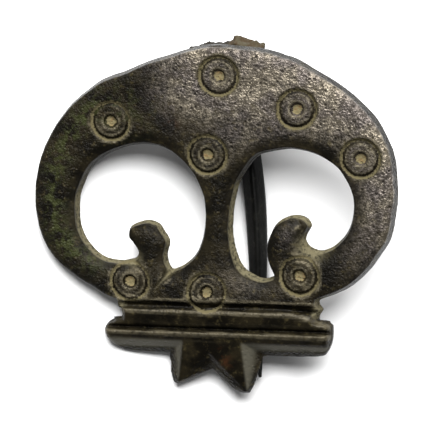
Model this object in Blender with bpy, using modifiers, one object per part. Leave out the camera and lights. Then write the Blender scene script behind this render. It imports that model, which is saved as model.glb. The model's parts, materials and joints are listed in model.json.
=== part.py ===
# Openwork plate brooch of cast copper alloy, lying on its back as a loose brooch lies.
# The plate is modelled in its own frame (x to the right, y up the plate, front face at z = 0),
# and an empty then lays it down on the three points that it rests on.

import math

import bmesh
import bpy
import numpy as np
from mathutils import Matrix, Vector

MM = 0.001
TOUCHING_GAP = 0.3 * MM

# Plate
PLATE_WIDTH = 41.0 * MM
PLATE_THICKNESS = 2.0 * MM
WALL_DRAFT = 0.36 * MM
EDGE_BEVEL_WIDTH = 0.26 * MM
EDGE_BEVEL_DEPTH = 0.30 * MM
OUTLINE_RESOLUTION = 4

# Ring-and-dot ornament
RING_RADIUS = 2.35 * MM
RING_GROOVE_WIDTH = 0.46 * MM
RING_GROOVE_DEPTH = 0.30 * MM
RING_GROOVE_FLANK = 0.10 * MM
PIT_RADIUS = 0.78 * MM
PIT_FLOOR_RADIUS = 0.45 * MM
PIT_DEPTH = 0.50 * MM
RING_SEGMENTS = 24

# Moulded crossbar
BAR_LENGTH = 26.1 * MM
BAR_NECK_LENGTH = 22.6 * MM
BAR_OFFSET = 0.4 * MM
LOWER_BAR_OFFSET = -0.17 * MM
BAR_SLANT = math.radians(1.2)
BAR_BACK_STEP = 0.15 * MM
BAR_JOIN_STEP = 0.02 * MM
GROOVE_DEPTH = 0.60 * MM
GROOVE_RISE = 0.10 * MM
LOWER_GROOVE_DEPTH = 0.85 * MM
BEAD_DEPTH = 0.03 * MM
BEAD_DROP = 0.50 * MM
BAND_DROP = 2.20 * MM
LOWER_GROOVE_DROP = 2.45 * MM
RIDGE_DROP = 2.90 * MM
LOWER_FACE_DROP = 3.80 * MM
BAR_DROP = 5.5 * MM
BAND_DEPTH = 0.38 * MM
LOWER_FACE_DEPTH = 0.48 * MM
RIDGE_DEPTH = 0.10 * MM

# Foot with two ridged teeth
FOOT_WIDTH = 10.4 * MM
FOOT_LENGTH = 6.6 * MM
FOOT_OFFSET = -0.2 * MM

# Spring, axis rod and lug
WIRE_DIAMETER = 1.5 * MM
ROD_DIAMETER = 1.2 * MM
ROD_CLEARANCE = 0.35 * MM
ROD_OVERHANG = 0.35 * MM
COIL_PITCH = 1.62 * MM
COIL_POINTS_PER_TURN = 16
CHORD_CLEARANCE = 0.15 * MM
CHORD_HEIGHT = 0.25 * MM
CHORD_BEND = 0.85 * MM
LUG_THICKNESS = 0.9 * MM
LUG_WALL = 0.65 * MM
LUG_OFFSET = -0.42 * MM
SPRING_TO_TOP_EDGE = 2.2 * MM
SPRING_SLANT = math.radians(6.0)

# Pin
PIN_LENGTH = 35.4 * MM
PIN_BOW = 0.4 * MM
PIN_SIDE_BOW = 0.6 * MM
PIN_SWELL = 1.2
PIN_POINTS = 14

# Catch
CATCH_LENGTH = 3.6 * MM
CATCH_WALL = 0.7 * MM
CATCH_CHANNEL_RADIUS = 0.65 * MM
CATCH_LIP_ANGLE = math.radians(-120.0)
PIN_TO_CATCH = 30.8 * MM
CATCH_ROOT = 0.25 * MM
PIN_HEIGHT_AT_CATCH = 2.1 * MM

# Outlines of the plate's back face, as shares of half its width. "corner" points are sharp.
OUTER_OUTLINE = [
    (-0.007, 0.788), (0.215, 0.771), (0.386, 0.736), (0.520, 0.670), (0.657, 0.592), (0.788, 0.495),
    (0.898, 0.365), (0.966, 0.208), (0.985, 0.037), (0.973, -0.136), (0.936, -0.268),
    (0.829, -0.417), (0.705, -0.523), (0.568, -0.580, "corner"), (0.566, -0.655, "corner"),
    (-0.545, -0.680, "corner"), (-0.552, -0.632, "corner"), (-0.635, -0.607), (-0.803, -0.505),
    (-0.887, -0.444), (-0.960, -0.349), (-1.005, -0.230), (-1.027, -0.061), (-1.006, 0.112),
    (-0.942, 0.273), (-0.848, 0.416), (-0.721, 0.525), (-0.581, 0.604), (-0.312, 0.713),
    (-0.162, 0.765),
]
LEFT_OPENING = [
    (-0.076, -0.124), (-0.098, -0.016), (-0.190, 0.124), (-0.309, 0.209), (-0.447, 0.214),
    (-0.575, 0.181), (-0.692, 0.096), (-0.766, -0.048), (-0.774, -0.139), (-0.760, -0.238),
    (-0.716, -0.330), (-0.641, -0.395), (-0.536, -0.417), (-0.455, -0.400, "corner"),
    (-0.441, -0.365), (-0.467, -0.323), (-0.497, -0.287), (-0.486, -0.225), (-0.404, -0.191),
    (-0.334, -0.202), (-0.293, -0.246), (-0.261, -0.301), (-0.274, -0.379), (-0.263, -0.432),
    (-0.237, -0.452), (-0.166, -0.411), (-0.108, -0.337), (-0.077, -0.219),
]
RIGHT_OPENING = [
    (0.745, -0.067), (0.731, 0.010), (0.695, 0.077), (0.651, 0.133), (0.586, 0.180), (0.505, 0.218),
    (0.399, 0.231), (0.301, 0.216), (0.210, 0.178), (0.129, 0.071), (0.102, -0.003),
    (0.081, -0.168), (0.087, -0.266), (0.115, -0.362), (0.158, -0.426), (0.217, -0.464),
    (0.267, -0.478), (0.316, -0.463, "corner"), (0.277, -0.379), (0.268, -0.298), (0.293, -0.217),
    (0.333, -0.162), (0.391, -0.132), (0.442, -0.125), (0.492, -0.138), (0.519, -0.176),
    (0.498, -0.221), (0.492, -0.259), (0.518, -0.294), (0.562, -0.309),
    (0.604, -0.301), (0.655, -0.269), (0.699, -0.220), (0.730, -0.157),
]

# Centres of the ring-and-dot marks on the front face, as shares of half the width
RING_PLACES = [
    (-0.595, 0.347), (-0.003, 0.618), (0.432, 0.457), (0.788, 0.205),
    (-0.054, 0.188), (-0.469, -0.522), (-0.042, -0.563), (0.470, -0.447),
]

# The bar's top groove is at this height, as a share of half the width
BAR_PLACE = -0.646

# Corners of the teeth: (share of half the foot's width, share of its length, depth as a share of
# the plate's thickness), the foot's length running down from the bar's ridge
LEFT_TOOTH = [
    (-0.98, 0.20, 1.0), (-0.96, 0.43, 1.0), (-0.92, 0.76, 1.0), (-0.86, 0.89, 1.0), (-0.76, 0.92, 1.0),
    (-0.02, 0.62, 1.0), (0.10, 0.10, 1.0),
    (-0.60, 0.11, 0.20), (-0.71, 0.83, 0.60), (-0.08, 0.31, 0.38), (0.05, 0.08, 0.22),
]
RIGHT_TOOTH = [
    (-0.12, 0.10, 0.98), (-0.02, 0.62, 0.98), (0.44, 0.94, 0.98), (0.62, 1.01, 0.98),
    (0.80, 1.00, 0.98), (0.89, 0.88, 0.98), (1.02, 0.51, 0.98), (1.08, 0.37, 0.98), (1.04, 0.22, 0.98),
    (0.62, 0.07, 0.18), (0.76, 0.95, 0.62), (-0.06, 0.31, 0.34), (-0.10, 0.08, 0.20),
]

# How the lower bar rounds off at its ends: (distance from the end, scale of its profile, rise)
LEFT_END = [
    (0.0 * MM, 0.22, 0.30 * MM), (0.3 * MM, 0.39, 0.30 * MM), (0.8 * MM, 0.59, 0.20 * MM),
    (1.9 * MM, 0.85, 0.10 * MM), (3.1 * MM, 1.0, 0.0 * MM),
]
RIGHT_END = [
    (0.0 * MM, 0.36, 0.65 * MM), (0.35 * MM, 0.71, 0.42 * MM), (1.3 * MM, 0.92, 0.25 * MM),
    (2.6 * MM, 1.0, 0.0 * MM),
]
NECK_END_SCALE = 0.72

HALF_WIDTH = PLATE_WIDTH / 2
COIL_RADIUS = ROD_DIAMETER / 2 + ROD_CLEARANCE + WIRE_DIAMETER / 2
COIL_OUTER_RADIUS = COIL_RADIUS + WIRE_DIAMETER / 2
AXIS_DEPTH = PLATE_THICKNESS + TOUCHING_GAP + COIL_OUTER_RADIUS
AXIS_HEIGHT = HALF_WIDTH * OUTER_OUTLINE[0][1] - SPRING_TO_TOP_EDGE
FIRST_TURN = LUG_THICKNESS / 2 + TOUCHING_GAP + WIRE_DIAMETER / 2


def clear_scene():
    for thing in list(bpy.data.objects):
        bpy.data.objects.remove(thing, do_unlink=True)


def new_collection(name, hidden=False):
    collection = bpy.data.collections.new(name)
    collection.hide_render = hidden
    bpy.context.scene.collection.children.link(collection)
    return collection


def principled(name, colour, roughness, metallic):
    material = bpy.data.materials.new(name)
    material.use_nodes = True
    shader = material.node_tree.nodes["Principled BSDF"]
    shader.inputs["Base Color"].default_value = (*colour, 1.0)
    shader.inputs["Roughness"].default_value = roughness
    shader.inputs["Metallic"].default_value = metallic
    return material


def link_mesh(name, mesh, collection, parent=None):
    thing = bpy.data.objects.new(name, mesh)
    collection.objects.link(thing)
    thing.parent = parent
    return thing


def make_helper(thing):
    thing.hide_render = True
    thing.display_type = "WIRE"
    return thing


def curve_to_mesh(curve_object, weld_distance=1e-7):
    """The mesh of a curve object, with its loose caps welded on. The curve is removed."""
    bpy.context.view_layer.update()
    graph = bpy.context.evaluated_depsgraph_get()
    mesh = bpy.data.meshes.new_from_object(curve_object.evaluated_get(graph))
    data = curve_object.data
    bpy.data.objects.remove(curve_object, do_unlink=True)
    bpy.data.curves.remove(data)
    solid = bmesh.new()
    solid.from_mesh(mesh)
    bmesh.ops.remove_doubles(solid, verts=solid.verts, dist=weld_distance)
    bmesh.ops.recalc_face_normals(solid, faces=solid.faces)
    solid.to_mesh(mesh)
    solid.free()
    return mesh


def flat_outline(name, outlines, half_thickness, smooth):
    """A filled 2D curve object. Smooth outlines are Bezier curves whose marked points are sharp."""
    data = bpy.data.curves.new(name, "CURVE")
    data.dimensions = "2D"
    data.fill_mode = "BOTH"
    data.extrude = half_thickness
    data.resolution_u = OUTLINE_RESOLUTION
    for points in outlines:
        if smooth:
            spline = data.splines.new("BEZIER")
            spline.bezier_points.add(len(points) - 1)
            for knot, point in zip(spline.bezier_points, points):
                handle = "VECTOR" if len(point) == 3 else "AUTO"
                knot.co = (point[0], point[1], 0.0)
                knot.handle_left_type = handle
                knot.handle_right_type = handle
        else:
            spline = data.splines.new("POLY")
            spline.points.add(len(points) - 1)
            for knot, point in zip(spline.points, points):
                knot.co = (point[0], point[1], 0.0, 1.0)
        spline.use_cyclic_u = True
    thing = bpy.data.objects.new(name, data)
    bpy.context.scene.collection.objects.link(thing)
    return thing


def wall_directions(solid):
    """For each point of an upright outline, the direction across the walls that meet there."""
    directions = {}
    for vert in solid.verts:
        total = Vector((0.0, 0.0, 0.0))
        for face in vert.link_faces:
            if abs(face.normal.z) < 0.5:
                total += Vector((face.normal.x, face.normal.y, 0.0)).normalized() * face.calc_area()
        directions[vert] = total.normalized()
    return directions


def drafted_plate(name, collection, parent):
    """The openwork plate: walls drawn in towards the front, and a small bevel round the front face."""
    outlines = []
    for shares in (OUTER_OUTLINE, LEFT_OPENING, RIGHT_OPENING):
        outlines.append([(p[0] * HALF_WIDTH, p[1] * HALF_WIDTH, *p[2:]) for p in shares])
    wall = PLATE_THICKNESS - EDGE_BEVEL_DEPTH
    mesh = curve_to_mesh(flat_outline(name, outlines, wall / 2, smooth=True))
    solid = bmesh.new()
    solid.from_mesh(mesh)
    bmesh.ops.translate(solid, verts=solid.verts, vec=(0.0, 0.0, wall / 2 - PLATE_THICKNESS))
    solid.normal_update()
    directions = wall_directions(solid)
    front = [face for face in solid.faces if face.normal.z > 0.5]
    rim = {vert: directions[vert] for face in front for vert in face.verts}
    for vert, direction in rim.items():
        vert.co -= direction * WALL_DRAFT
    bmesh.ops.delete(solid, geom=front, context="FACES_ONLY")
    bmesh.ops.delete(solid, geom=[edge for edge in solid.edges if not edge.link_faces], context="EDGES")
    shoulder = [edge for edge in solid.edges if len(edge.link_faces) == 1]
    raised = bmesh.ops.extrude_edge_only(solid, edges=shoulder)["geom"]
    for vert in [item for item in raised if isinstance(item, bmesh.types.BMVert)]:
        below = next(edge.other_vert(vert) for edge in vert.link_edges if edge.other_vert(vert) in rim)
        vert.co -= rim[below] * EDGE_BEVEL_WIDTH
        vert.co.z += EDGE_BEVEL_DEPTH
    lip = [edge for edge in solid.edges if len(edge.link_faces) == 1]
    bmesh.ops.triangle_fill(solid, edges=lip, use_beauty=True, normal=(0.0, 0.0, 1.0))
    bmesh.ops.recalc_face_normals(solid, faces=solid.faces)
    solid.to_mesh(mesh)
    solid.free()
    return link_mesh(name, mesh, collection, parent)


def moulding(name, profile, stations, collection, parent):
    """A profile of (height, depth) points run along x. Each station is (x, scale, rise), and the
    profile keeps more of its depth than of its height where it is scaled down."""
    back = max(depth for _, depth in profile)
    middle = sum(height for height, _ in profile) / len(profile)
    solid = bmesh.new()
    rings = []
    for x, scale, rise in stations:
        fullness = 1 - (1 - scale) ** 2
        ring = []
        for height, depth in profile:
            y = middle + (height - middle) * scale + rise
            z = -back + (back - depth) * fullness
            ring.append(solid.verts.new((x, y, z)))
        rings.append(ring)
    solid.faces.new(rings[0])
    solid.faces.new(rings[-1])
    for left, right in zip(rings, rings[1:]):
        for i in range(len(left)):
            j = (i + 1) % len(left)
            solid.faces.new((left[i], left[j], right[j], right[i]))
    bmesh.ops.recalc_face_normals(solid, faces=solid.faces)
    mesh = bpy.data.meshes.new(name)
    solid.to_mesh(mesh)
    solid.free()
    thing = make_helper(link_mesh(name, mesh, collection, parent))
    thing.location = (BAR_OFFSET, BAR_PLACE * HALF_WIDTH, 0.0)
    thing.rotation_euler = (0.0, 0.0, BAR_SLANT)
    return thing


def beyond(start, end, share=0.6):
    """The point past the end of a profile's segment, by a share of its length."""
    return tuple(b + (b - a) * share for a, b in zip(start, end))


def crossbar(collection, parent):
    """The two mouldings. Their flanks cross at the lower groove and run on inside each other."""
    back = PLATE_THICKNESS + BAR_BACK_STEP
    overlap = 2 * GROOVE_DEPTH
    band_edge = (-BAND_DROP, BAND_DEPTH)
    groove_floor = (-LOWER_GROOVE_DROP, LOWER_GROOVE_DEPTH)
    ridge = (-RIDGE_DROP, RIDGE_DEPTH)
    upper = [
        (overlap, back), (overlap, PLATE_THICKNESS / 2), (GROOVE_RISE, GROOVE_DEPTH),
        (-BEAD_DROP, BEAD_DEPTH), band_edge, beyond(band_edge, groove_floor),
        (-LOWER_FACE_DROP, PLATE_THICKNESS / 2), (-LOWER_FACE_DROP, back),
    ]
    lower_back = back + BAR_JOIN_STEP
    lower = [
        (-BAND_DROP + LOWER_GROOVE_DEPTH, lower_back), beyond(ridge, groove_floor),
        ridge, (-LOWER_FACE_DROP, LOWER_FACE_DEPTH), (-BAR_DROP, lower_back),
    ]
    neck = BAR_NECK_LENGTH / 2
    neck_stations = [
        (-neck, NECK_END_SCALE, 0.0), (-neck + WALL_DRAFT, 1.0, 0.0),
        (neck - WALL_DRAFT, 1.0, 0.0), (neck, NECK_END_SCALE, 0.0),
    ]
    left = LOWER_BAR_OFFSET - BAR_LENGTH / 2
    right = LOWER_BAR_OFFSET + BAR_LENGTH / 2
    bar_stations = [(left + inward, scale, rise) for inward, scale, rise in LEFT_END]
    bar_stations += [(right - inward, scale, rise) for inward, scale, rise in reversed(RIGHT_END)]
    return [
        moulding("upper_moulding", upper, neck_stations, collection, parent),
        moulding("lower_bar", lower, bar_stations, collection, parent),
    ]


def tooth(name, corners, collection, parent):
    """One ridged tooth of the foot: the hull of its corners."""
    top = BAR_PLACE * HALF_WIDTH - RIDGE_DROP
    solid = bmesh.new()
    for across, down, depth in corners:
        x = FOOT_OFFSET + across * FOOT_WIDTH / 2
        solid.verts.new((x, top - down * FOOT_LENGTH, -depth * PLATE_THICKNESS))
    bmesh.ops.convex_hull(solid, input=solid.verts)
    bmesh.ops.recalc_face_normals(solid, faces=solid.faces)
    mesh = bpy.data.meshes.new(name)
    solid.to_mesh(mesh)
    solid.free()
    return make_helper(link_mesh(name, mesh, collection, parent))


def arc(centre, radius, start, end, segments):
    angles = [start + (end - start) * i / segments for i in range(segments + 1)]
    return [(centre[0] + radius * math.cos(a), centre[1] + radius * math.sin(a)) for a in angles]


def spring_lug(collection, parent):
    """The tongue behind the plate that carries the axis rod, standing on edge."""
    hub = ROD_DIAMETER / 2 + TOUCHING_GAP + LUG_WALL
    root = AXIS_DEPTH - PLATE_THICKNESS / 2
    outline = [(-hub - LUG_WALL / 2, root), *arc((0.0, 0.0), hub, math.pi, 2 * math.pi, 12)]
    outline.append((hub + LUG_WALL / 2, root))
    mesh = curve_to_mesh(flat_outline("lug", [outline], LUG_THICKNESS / 2, smooth=False))
    thing = make_helper(link_mesh("spring_lug", mesh, collection, parent))
    thing.location = (LUG_OFFSET, AXIS_HEIGHT, -AXIS_DEPTH)
    thing.rotation_euler = (math.pi / 2, 0.0, math.pi / 2 + SPRING_SLANT)
    return thing


def lug_bore(collection, parent):
    bpy.ops.mesh.primitive_cylinder_add(
        vertices=20, radius=ROD_DIAMETER / 2 + TOUCHING_GAP, depth=3 * LUG_THICKNESS
    )
    thing = bpy.context.object
    thing.name = "lug_bore"
    for owner in list(thing.users_collection):
        owner.objects.unlink(thing)
    collection.objects.link(thing)
    thing.parent = parent
    thing.location = (LUG_OFFSET, AXIS_HEIGHT, -AXIS_DEPTH)
    thing.rotation_euler = (math.pi / 2, 0.0, math.pi / 2 + SPRING_SLANT)
    return make_helper(thing)


def pin_point(share):
    """The pin's centre line in the spring's frame, from the coil (share 0) to the tip (share 1)."""
    catch_share = PIN_TO_CATCH / PIN_LENGTH
    height_at_catch = AXIS_DEPTH - PLATE_THICKNESS - PIN_HEIGHT_AT_CATCH
    rise = (height_at_catch + COIL_RADIUS + 4 * PIN_BOW * catch_share * (1 - catch_share)) / catch_share
    x = FIRST_TURN + PIN_SIDE_BOW * (1 - math.cos(2 * math.pi * share)) / 2
    z = -COIL_RADIUS + rise * share - 4 * PIN_BOW * share * (1 - share)
    return Vector((x, -PIN_LENGTH * share, z))


def pin_thickness(share):
    """The pin's thickness as a share of the wire's: it swells past the coil and tapers to its tip."""
    swell = 1 + (PIN_SWELL - 1) * (1 - math.cos(2 * math.pi * min(share / 0.85, 1.0))) / 2
    taper = 1 - 0.78 * (max(share - 0.68, 0.0) / 0.32) ** 1.6
    return swell * taper


def helix_point(angle, x):
    return Vector((x, COIL_RADIUS * math.cos(angle), COIL_RADIUS * math.sin(angle)))


def smooth_path(knots, steps):
    """Points on a Catmull-Rom curve through the inner knots."""
    points = []
    for a, b, c, d in zip(knots, knots[1:], knots[2:], knots[3:]):
        for i in range(steps):
            t = i / steps
            points.append(
                0.5 * (2 * b + (c - a) * t + (2 * a - 5 * b + 4 * c - d) * t**2 + (3 * b - a - 3 * c + d) * t**3)
            )
    return points


def spring_points():
    """The wire from the pin's tip, round both coils, as (point, thickness) pairs."""
    near = pin_point(0.01)
    start = pin_point(0.0)
    slope = math.atan2(near.z - start.z, start.y - near.y)
    first = -math.pi / 2 - slope
    last = math.radians(150 + 360)
    step = 2 * math.pi / COIL_POINTS_PER_TURN
    count = round((last - first) / step)
    right = []
    for i in range(count + 1):
        angle = first + (last - first) * i / count
        right.append(helix_point(angle, FIRST_TURN + COIL_PITCH * (angle - first) / (2 * math.pi)))
    end = right[-1].x
    left_first = math.radians(210)
    left_last = math.radians(90 + 720)
    left_count = round((left_last - left_first) / step)
    left = []
    for i in range(left_count + 1):
        angle = left_first + (left_last - left_first) * i / left_count
        left.append(helix_point(angle, -FIRST_TURN - COIL_PITCH * (left_last - angle) / (2 * math.pi)))
    chord = COIL_OUTER_RADIUS + CHORD_CLEARANCE + WIRE_DIAMETER / 2
    corner = end + 0.08 * WIRE_DIAMETER
    bend = end - 0.03 * WIRE_DIAMETER
    straight = end - CHORD_BEND
    knots = [
        right[-2], right[-1],
        Vector((corner, -0.66 * chord, 0.25 * WIRE_DIAMETER)),
        Vector((bend, -0.88 * chord, 0.17 * WIRE_DIAMETER)),
        Vector((straight, -chord, CHORD_HEIGHT)), Vector((0.0, -chord, CHORD_HEIGHT)),
        Vector((-straight, -chord, CHORD_HEIGHT)),
        Vector((-bend, -0.88 * chord, 0.07 * WIRE_DIAMETER)),
        Vector((-corner, -0.66 * chord, -0.22 * WIRE_DIAMETER)),
        left[0], left[1],
    ]
    wire = []
    for i in range(PIN_POINTS, 0, -1):
        wire.append((pin_point(i / PIN_POINTS), pin_thickness(i / PIN_POINTS)))
    wire += [(point, 1.0) for point in right[:-1]]
    wire += [(point, 1.0) for point in smooth_path(knots, 2)]
    wire += [(point, 1.0) for point in left]
    return wire


def spring_pin(collection, parent):
    data = bpy.data.curves.new("spring_pin", "CURVE")
    data.dimensions = "3D"
    data.bevel_depth = WIRE_DIAMETER / 2
    data.bevel_resolution = 2
    data.use_fill_caps = True
    wire = spring_points()
    spline = data.splines.new("POLY")
    spline.points.add(len(wire) - 1)
    for knot, (point, thickness) in zip(spline.points, wire):
        knot.co = (*point, 1.0)
        knot.radius = thickness
    thing = bpy.data.objects.new("spring_pin", data)
    collection.objects.link(thing)
    thing.parent = parent
    return thing


def axis_rod(collection, parent):
    reach = FIRST_TURN + 1.75 * COIL_PITCH + WIRE_DIAMETER / 2 + ROD_OVERHANG
    bpy.ops.mesh.primitive_cylinder_add(
        vertices=16, radius=ROD_DIAMETER / 2, depth=2 * reach, rotation=(0.0, math.pi / 2, 0.0)
    )
    thing = bpy.context.object
    thing.name = "axis_rod"
    for owner in list(thing.users_collection):
        owner.objects.unlink(thing)
    collection.objects.link(thing)
    thing.parent = parent
    thing.data.shade_smooth()
    thing.data.set_sharp_from_angle(angle=math.radians(40))
    return thing


def pin_catch(collection, parent, spring_matrix):
    """The hook behind the bar, open towards the pin that lies beside it."""
    share = PIN_TO_CATCH / PIN_LENGTH
    beside = spring_matrix @ pin_point(share)
    pin_radius = pin_thickness(share) * WIRE_DIAMETER / 2
    outer = CATCH_CHANNEL_RADIUS + CATCH_WALL
    shift = pin_radius + TOUCHING_GAP - outer * math.cos(CATCH_LIP_ANGLE)
    root = -beside.z - PLATE_THICKNESS + CATCH_ROOT
    hook = arc((0.0, 0.0), outer, 0.0, CATCH_LIP_ANGLE, 10)
    hook += arc((0.0, 0.0), CATCH_CHANNEL_RADIUS, CATCH_LIP_ANGLE, 0.0, 8)
    outline = [(outer, root), *hook, (CATCH_CHANNEL_RADIUS, root)]
    mesh = curve_to_mesh(flat_outline("catch", [outline], CATCH_LENGTH / 2, smooth=False))
    thing = make_helper(link_mesh("pin_catch", mesh, collection, parent))
    across = Vector((math.cos(SPRING_SLANT), math.sin(SPRING_SLANT), 0.0))
    thing.location = beside + across * shift
    thing.rotation_euler = (math.pi / 2, 0.0, SPRING_SLANT)
    return thing


def screw_profile(name, points, closed, collection, parent):
    """A turned cutter: a profile at +x, run down its outer side, turned about z."""
    mesh = bpy.data.meshes.new(name)
    edges = [(i, i + 1) for i in range(len(points) - 1)]
    if closed:
        edges.append((len(points) - 1, 0))
    mesh.from_pydata([(x, 0.0, z) for x, z in points], edges, [])
    thing = make_helper(link_mesh(name, mesh, collection, parent))
    turn = thing.modifiers.new("Turn", "SCREW")
    turn.steps = RING_SEGMENTS
    turn.render_steps = RING_SEGMENTS
    turn.use_merge_vertices = True
    turn.merge_threshold = 1e-6
    return thing


def ring_and_dot_cutters(collection, parent):
    """Each mark is a ring groove and a round pit with a small flat floor. The sloping walls run on
    as far above the face as they go below it."""
    inside = RING_RADIUS - RING_GROOVE_WIDTH
    groove = [
        (RING_RADIUS + RING_GROOVE_FLANK, RING_GROOVE_DEPTH),
        (RING_RADIUS - RING_GROOVE_FLANK, -RING_GROOVE_DEPTH),
        (inside + RING_GROOVE_FLANK, -RING_GROOVE_DEPTH),
        (inside - RING_GROOVE_FLANK, RING_GROOVE_DEPTH),
    ]
    pit = [
        (0.0, PIT_DEPTH), (2 * PIT_RADIUS - PIT_FLOOR_RADIUS, PIT_DEPTH),
        (PIT_FLOOR_RADIUS, -PIT_DEPTH), (0.0, -PIT_DEPTH),
    ]
    for number, (x, y) in enumerate(RING_PLACES, start=1):
        ring = screw_profile(f"ring_groove_{number}", groove, True, collection, parent)
        dot = screw_profile(f"ring_pit_{number}", pit, False, collection, parent)
        for thing in (ring, dot):
            thing.location = (x * HALF_WIDTH, y * HALF_WIDTH, 0.0)


def add_boolean(target, operation, operand):
    change = target.modifiers.new(operation.capitalize(), "BOOLEAN")
    change.operation = operation
    change.solver = "EXACT"
    if isinstance(operand, bpy.types.Collection):
        change.operand_type = "COLLECTION"
        change.collection = operand
    else:
        change.object = operand


def evaluated_triangles(thing, graph, frame):
    """Corner points of the object's triangles in the frame given, as an array of n x 3 x 3."""
    evaluated = thing.evaluated_get(graph)
    mesh = evaluated.to_mesh()
    mesh.calc_loop_triangles()
    points = np.empty(len(mesh.vertices) * 3)
    mesh.vertices.foreach_get("co", points)
    faces = np.empty(len(mesh.loop_triangles) * 3, dtype=np.int32)
    mesh.loop_triangles.foreach_get("vertices", faces)
    matrix = np.array(frame.inverted() @ evaluated.matrix_world)
    evaluated.to_mesh_clear()
    points = points.reshape(-1, 3) @ matrix[:3, :3].T + matrix[:3, 3]
    return points[faces.reshape(-1, 3)]


def resting_matrix(things, frame):
    """Lays the brooch on the face of its hull, behind the plate and leaning to the left, that its
    centre of mass sits over, with the plate's top towards +y and its box's bottom centre at 0."""
    bpy.context.view_layer.update()
    graph = bpy.context.evaluated_depsgraph_get()
    corners = np.concatenate([evaluated_triangles(thing, graph, frame.matrix_world) for thing in things])
    volumes = np.einsum("ij,ij->i", corners[:, 0], np.cross(corners[:, 1], corners[:, 2]))
    centre = Vector((corners.sum(axis=1) * volumes[:, None]).sum(axis=0) / (4 * volumes.sum()))
    points = np.unique(np.round(corners.reshape(-1, 3), 7), axis=0)
    hull = bmesh.new()
    for point in points[points[:, 2] < -PLATE_THICKNESS / 2]:
        hull.verts.new(point)
    bmesh.ops.convex_hull(hull, input=hull.verts)
    bmesh.ops.recalc_face_normals(hull, faces=hull.faces)
    downs = []
    for face in hull.faces:
        down = face.normal.copy()
        if down.z > -0.8:
            continue
        below = centre + down * ((face.verts[0].co - centre).dot(down))
        corner = [vert.co for vert in face.verts]
        sides = [
            (b - a).cross(below - a).dot(down) >= 0.0 for a, b in zip(corner, corner[1:] + corner[:1])
        ]
        if all(sides):
            downs.append(down)
    hull.free()
    down = min(downs, key=lambda normal: normal.x)
    upright = (-down).normalized()
    right = Vector((0.0, 1.0, 0.0)).cross(upright).normalized()
    turn = Matrix((right, upright.cross(right), upright))
    laid = points @ np.array(turn).T
    low = laid.min(axis=0)
    high = laid.max(axis=0)
    shift = Vector((-(low[0] + high[0]) / 2, -(low[1] + high[1]) / 2, -low[2]))
    return Matrix.Translation(shift) @ turn.to_4x4()


def build():
    clear_scene()
    parts = new_collection("plate_brooch")
    joins = new_collection("brooch_joins", hidden=True)
    marks = new_collection("ring_and_dot_marks", hidden=True)
    lying = bpy.data.objects.new("lying_frame", None)
    spring = bpy.data.objects.new("spring_axis", None)
    for empty in (lying, spring):
        parts.objects.link(empty)
    spring.parent = lying
    spring.location = (LUG_OFFSET, AXIS_HEIGHT, -AXIS_DEPTH)
    spring.rotation_euler = (0.0, 0.0, SPRING_SLANT)
    bpy.context.view_layer.update()

    plate = drafted_plate("plate", parts, lying)
    joined = crossbar(joins, lying)
    joined.append(tooth("left_tooth", LEFT_TOOTH, joins, lying))
    joined.append(tooth("right_tooth", RIGHT_TOOTH, joins, lying))
    joined.append(spring_lug(joins, lying))
    joined.append(pin_catch(joins, lying, spring.matrix_world.copy()))
    for piece in joined:
        add_boolean(plate, "UNION", piece)
    add_boolean(plate, "DIFFERENCE", lug_bore(joins, lying))
    ring_and_dot_cutters(marks, lying)
    add_boolean(plate, "DIFFERENCE", marks)
    pin = spring_pin(parts, spring)
    rod = axis_rod(parts, spring)

    bronze = principled("patinated_bronze", (0.115, 0.098, 0.075), 0.48, 0.35)
    wire = principled("dark_wire", (0.05, 0.05, 0.042), 0.5, 0.4)
    iron = principled("rusted_iron", (0.16, 0.085, 0.045), 0.85, 0.2)
    for thing, material in ((plate, bronze), (pin, wire), (rod, iron)):
        thing.data.materials.append(material)

    lying.matrix_world = resting_matrix([plate, pin, rod], lying)


build()
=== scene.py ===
import bpy
import bmesh
import json
import math
import numpy as np
from mathutils import Matrix, Vector


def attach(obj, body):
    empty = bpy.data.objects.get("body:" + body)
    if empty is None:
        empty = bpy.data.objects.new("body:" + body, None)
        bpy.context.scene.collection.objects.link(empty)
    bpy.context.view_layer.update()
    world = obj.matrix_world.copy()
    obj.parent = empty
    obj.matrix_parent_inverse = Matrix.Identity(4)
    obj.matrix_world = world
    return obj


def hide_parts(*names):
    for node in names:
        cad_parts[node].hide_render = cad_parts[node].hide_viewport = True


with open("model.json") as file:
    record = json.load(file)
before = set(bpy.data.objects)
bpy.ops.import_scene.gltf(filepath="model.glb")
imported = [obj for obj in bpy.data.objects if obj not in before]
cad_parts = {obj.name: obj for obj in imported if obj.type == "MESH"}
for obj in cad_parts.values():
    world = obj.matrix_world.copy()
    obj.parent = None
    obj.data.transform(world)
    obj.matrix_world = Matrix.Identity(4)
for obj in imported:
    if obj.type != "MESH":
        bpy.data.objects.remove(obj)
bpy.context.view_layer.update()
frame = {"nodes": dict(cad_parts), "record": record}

# Everything is worked out in millimetres in the plate's own frame (x to the right, y up the plate,
# front face at z = 0) and then carried to where the brooch lies.
record = frame["record"]
mm = 0.001


def unit(v):
    return v / np.linalg.norm(v)


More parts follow.
